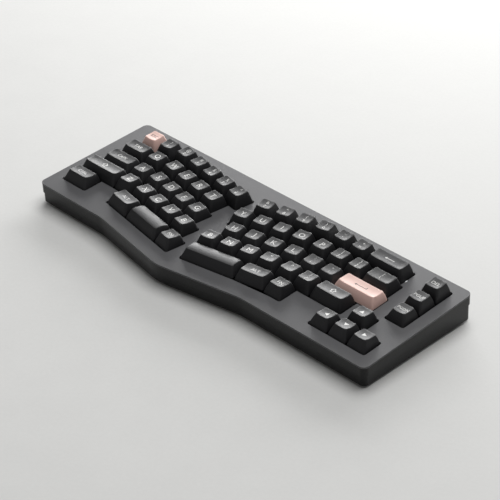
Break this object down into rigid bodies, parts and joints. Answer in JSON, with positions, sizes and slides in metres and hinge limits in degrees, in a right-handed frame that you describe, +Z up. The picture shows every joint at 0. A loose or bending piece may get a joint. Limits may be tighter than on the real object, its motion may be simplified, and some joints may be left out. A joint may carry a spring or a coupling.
{
  "type": "keyboard",
  "caption": "Split desk keyboard with two turned key blocks, sprung mechanical keys, a matte cover and a clear smoky wedge case.",
  "frame": {"origin": "centre of the footprint, on the desk", "axes": "+X to the user's right, +Y to the back, +Z up"},
  "size_m": [0.367, 0.1352, 0.035],
  "materials": {
    "keycap": "fine-grained satin moulded plastic",
    "pink_keycap": "fine-grained satin moulded plastic, pale pink",
    "cover": "smooth matte sheet",
    "acrylic": "polished smoky-black acrylic",
    "plate": "satin black sheet",
    "foam": "closed-cell foam",
    "board": "black solder mask",
    "switch": "moulded nylon",
    "spring": "drawn wire",
    "rubber": "matte silicone rubber",
    "screw": "machined steel",
    "lens": "clear diffusing plastic"
  },
  "bodies": {
    "case": {"top_cover": "cover", "upper_frame": "acrylic", "lower_case": "acrylic", "switch_plate": "plate", "plate_foam": "foam", "circuit_board": "board", "case_foam": "foam", "switch_housings": "switch", "switch_springs": "spring", "hot_swap_sockets": "switch", "stabiliser_housings": "switch", "stabiliser_wires": "spring", "gasket_strips": "rubber", "case_screws": "screw", "rubber_feet": "rubber", "usb_c_socket": "screw", "controller_chip": "switch", "indicator_lens": "lens"},
    "key_escape": {"key_escape": "pink_keycap"},
    "key_tab": {"key_tab": "keycap"},
    "key_caps_lock": {"key_caps_lock": "keycap"},
    "key_left_shift": {"key_left_shift": "keycap"},
    "key_left_control": {"key_left_control": "keycap"},
    "key_left_space": {"key_left_space": "keycap"},
    "key_right_space": {"key_right_space": "keycap"},
    "key_backspace": {"key_backspace": "keycap"},
    "key_enter": {"key_enter": "pink_keycap"},
    "key_right_shift": {"key_right_shift": "keycap"},
    "key_q": {"key_q": "keycap"},
    "key_w": {"key_w": "keycap"},
    "key_e": {"key_e": "keycap"},
    "key_r": {"key_r": "keycap"},
    "key_t": {"key_t": "keycap"},
    "key_y": {"key_y": "keycap"},
    "key_u": {"key_u": "keycap"},
    "key_i": {"key_i": "keycap"},
    "key_o": {"key_o": "keycap"},
    "key_p": {"key_p": "keycap"},
    "key_a": {"key_a": "keycap"},
    "key_s": {"key_s": "keycap"},
    "key_d": {"key_d": "keycap"},
    "key_f": {"key_f": "keycap"},
    "key_g": {"key_g": "keycap"},
    "key_h": {"key_h": "keycap"},
    "key_j": {"key_j": "keycap"},
    "key_k": {"key_k": "keycap"},
    "key_l": {"key_l": "keycap"},
    "key_z": {"key_z": "keycap"},
    "key_x": {"key_x": "keycap"},
    "key_c": {"key_c": "keycap"},
    "key_v": {"key_v": "keycap"},
    "key_b": {"key_b": "keycap"},
    "key_n": {"key_n": "keycap"},
    "key_m": {"key_m": "keycap"},
    "key_b_right": {"key_b_right": "keycap"},
    "digit_keys": {"digit_keys": "keycap"},
    "symbol_keys": {"symbol_keys": "keycap"},
    "arrow_keys": {"arrow_keys": "keycap"},
    "navigation_keys": {"navigation_keys": "keycap"},
    "modifier_keys": {"modifier_keys": "keycap"}
  },
  "joints": [
    {"name": "escape_press", "type": "slide", "parent": "case", "child": "key_escape", "axis": [0, 0.0436, -0.999], "range_m": [0, 0.0036], "stiffness_N_per_m": 61, "springref_m": -0.0056},
    {"name": "tab_press", "type": "slide", "parent": "case", "child": "key_tab", "axis": [0, 0.0436, -0.999], "range_m": [0, 0.0036], "stiffness_N_per_m": 61, "springref_m": -0.0056},
    {"name": "caps_lock_press", "type": "slide", "parent": "case", "child": "key_caps_lock", "axis": [0, 0.0436, -0.999], "range_m": [0, 0.0036], "stiffness_N_per_m": 61, "springref_m": -0.0056},
    {"name": "left_shift_press", "type": "slide", "parent": "case", "child": "key_left_shift", "axis": [0, 0.0436, -0.999], "range_m": [0, 0.0036], "stiffness_N_per_m": 61, "springref_m": -0.0056},
    {"name": "left_control_press", "type": "slide", "parent": "case", "child": "key_left_control", "axis": [0, 0.0436, -0.999], "range_m": [0, 0.0036], "stiffness_N_per_m": 61, "springref_m": -0.0056},
    {"name": "left_space_press", "type": "slide", "parent": "case", "child": "key_left_space", "axis": [0, 0.0436, -0.999], "range_m": [0, 0.0036], "stiffness_N_per_m": 61, "springref_m": -0.0056},
    {"name": "right_space_press", "type": "slide", "parent": "case", "child": "key_right_space", "axis": [0, 0.0436, -0.999], "range_m": [0, 0.0036], "stiffness_N_per_m": 61, "springref_m": -0.0056},
    {"name": "backspace_press", "type": "slide", "parent": "case", "child": "key_backspace", "axis": [0, 0.0436, -0.999], "range_m": [0, 0.0036], "stiffness_N_per_m": 61, "springref_m": -0.0056},
    {"name": "enter_press", "type": "slide", "parent": "case", "child": "key_enter", "axis": [0, 0.0436, -0.999], "range_m": [0, 0.0036], "stiffness_N_per_m": 61, "springref_m": -0.0056},
    {"name": "right_shift_press", "type": "slide", "parent": "case", "child": "key_right_shift", "axis": [0, 0.0436, -0.999], "range_m": [0, 0.0036], "stiffness_N_per_m": 61, "springref_m": -0.0056},
    {"name": "q_press", "type": "slide", "parent": "case", "child": "key_q", "axis": [0, 0.0436, -0.999], "range_m": [0, 0.0036], "stiffness_N_per_m": 61, "springref_m": -0.0056},
    {"name": "w_press", "type": "slide", "parent": "case", "child": "key_w", "axis": [0, 0.0436, -0.999], "range_m": [0, 0.0036], "stiffness_N_per_m": 61, "springref_m": -0.0056},
    {"name": "e_press", "type": "slide", "parent": "case", "child": "key_e", "axis": [0, 0.0436, -0.999], "range_m": [0, 0.0036], "stiffness_N_per_m": 61, "springref_m": -0.0056},
    {"name": "r_press", "type": "slide", "parent": "case", "child": "key_r", "axis": [0, 0.0436, -0.999], "range_m": [0, 0.0036], "stiffness_N_per_m": 61, "springref_m": -0.0056},
    {"name": "t_press", "type": "slide", "parent": "case", "child": "key_t", "axis": [0, 0.0436, -0.999], "range_m": [0, 0.0036], "stiffness_N_per_m": 61, "springref_m": -0.0056},
    {"name": "y_press", "type": "slide", "parent": "case", "child": "key_y", "axis": [0, 0.0436, -0.999], "range_m": [0, 0.0036], "stiffness_N_per_m": 61, "springref_m": -0.0056},
    {"name": "u_press", "type": "slide", "parent": "case", "child": "key_u", "axis": [0, 0.0436, -0.999], "range_m": [0, 0.0036], "stiffness_N_per_m": 61, "springref_m": -0.0056},
    {"name": "i_press", "type": "slide", "parent": "case", "child": "key_i", "axis": [0, 0.0436, -0.999], "range_m": [0, 0.0036], "stiffness_N_per_m": 61, "springref_m": -0.0056},
    {"name": "o_press", "type": "slide", "parent": "case", "child": "key_o", "axis": [0, 0.0436, -0.999], "range_m": [0, 0.0036], "stiffness_N_per_m": 61, "springref_m": -0.0056},
    {"name": "p_press", "type": "slide", "parent": "case", "child": "key_p", "axis": [0, 0.0436, -0.999], "range_m": [0, 0.0036], "stiffness_N_per_m": 61, "springref_m": -0.0056},
    {"name": "a_press", "type": "slide", "parent": "case", "child": "key_a", "axis": [0, 0.0436, -0.999], "range_m": [0, 0.0036], "stiffness_N_per_m": 61, "springref_m": -0.0056},
    {"name": "s_press", "type": "slide", "parent": "case", "child": "key_s", "axis": [0, 0.0436, -0.999], "range_m": [0, 0.0036], "stiffness_N_per_m": 61, "springref_m": -0.0056},
    {"name": "d_press", "type": "slide", "parent": "case", "child": "key_d", "axis": [0, 0.0436, -0.999], "range_m": [0, 0.0036], "stiffness_N_per_m": 61, "springref_m": -0.0056},
    {"name": "f_press", "type": "slide", "parent": "case", "child": "key_f", "axis": [0, 0.0436, -0.999], "range_m": [0, 0.0036], "stiffness_N_per_m": 61, "springref_m": -0.0056},
    {"name": "g_press", "type": "slide", "parent": "case", "child": "key_g", "axis": [0, 0.0436, -0.999], "range_m": [0, 0.0036], "stiffness_N_per_m": 61, "springref_m": -0.0056},
    {"name": "h_press", "type": "slide", "parent": "case", "child": "key_h", "axis": [0, 0.0436, -0.999], "range_m": [0, 0.0036], "stiffness_N_per_m": 61, "springref_m": -0.0056},
    {"name": "j_press", "type": "slide", "parent": "case", "child": "key_j", "axis": [0, 0.0436, -0.999], "range_m": [0, 0.0036], "stiffness_N_per_m": 61, "springref_m": -0.0056},
    {"name": "k_press", "type": "slide", "parent": "case", "child": "key_k", "axis": [0, 0.0436, -0.999], "range_m": [0, 0.0036], "stiffness_N_per_m": 61, "springref_m": -0.0056},
    {"name": "l_press", "type": "slide", "parent": "case", "child": "key_l", "axis": [0, 0.0436, -0.999], "range_m": [0, 0.0036], "stiffness_N_per_m": 61, "springref_m": -0.0056},
    {"name": "z_press", "type": "slide", "parent": "case", "child": "key_z", "axis": [0, 0.0436, -0.999], "range_m": [0, 0.0036], "stiffness_N_per_m": 61, "springref_m": -0.0056},
    {"name": "x_press", "type": "slide", "parent": "case", "child": "key_x", "axis": [0, 0.0436, -0.999], "range_m": [0, 0.0036], "stiffness_N_per_m": 61, "springref_m": -0.0056},
    {"name": "c_press", "type": "slide", "parent": "case", "child": "key_c", "axis": [0, 0.0436, -0.999], "range_m": [0, 0.0036], "stiffness_N_per_m": 61, "springref_m": -0.0056},
    {"name": "v_press", "type": "slide", "parent": "case", "child": "key_v", "axis": [0, 0.0436, -0.999], "range_m": [0, 0.0036], "stiffness_N_per_m": 61, "springref_m": -0.0056},
    {"name": "b_press", "type": "slide", "parent": "case", "child": "key_b", "axis": [0, 0.0436, -0.999], "range_m": [0, 0.0036], "stiffness_N_per_m": 61, "springref_m": -0.0056},
    {"name": "n_press", "type": "slide", "parent": "case", "child": "key_n", "axis": [0, 0.0436, -0.999], "range_m": [0, 0.0036], "stiffness_N_per_m": 61, "springref_m": -0.0056},
    {"name": "m_press", "type": "slide", "parent": "case", "child": "key_m", "axis": [0, 0.0436, -0.999], "range_m": [0, 0.0036], "stiffness_N_per_m": 61, "springref_m": -0.0056},
    {"name": "b_right_press", "type": "slide", "parent": "case", "child": "key_b_right", "axis": [0, 0.0436, -0.999], "range_m": [0, 0.0036], "stiffness_N_per_m": 61, "springref_m": -0.0056},
    {"name": "digit_keys_press", "type": "slide", "parent": "case", "child": "digit_keys", "axis": [0, 0.0436, -0.999], "range_m": [0, 0.0036], "stiffness_N_per_m": 610, "springref_m": -0.0056},
    {"name": "symbol_keys_press", "type": "slide", "parent": "case", "child": "symbol_keys", "axis": [0, 0.0436, -0.999], "range_m": [0, 0.0036], "stiffness_N_per_m": 610, "springref_m": -0.0056},
    {"name": "arrow_keys_press", "type": "slide", "parent": "case", "child": "arrow_keys", "axis": [0, 0.0436, -0.999], "range_m": [0, 0.0036], "stiffness_N_per_m": 244, "springref_m": -0.0056},
    {"name": "navigation_keys_press", "type": "slide", "parent": "case", "child": "navigation_keys", "axis": [0, 0.0436, -0.999], "range_m": [0, 0.0036], "stiffness_N_per_m": 183, "springref_m": -0.0056},
    {"name": "modifier_keys_press", "type": "slide", "parent": "case", "child": "modifier_keys", "axis": [0, 0.0436, -0.999], "range_m": [0, 0.0036], "stiffness_N_per_m": 244, "springref_m": -0.0056}
  ]
}
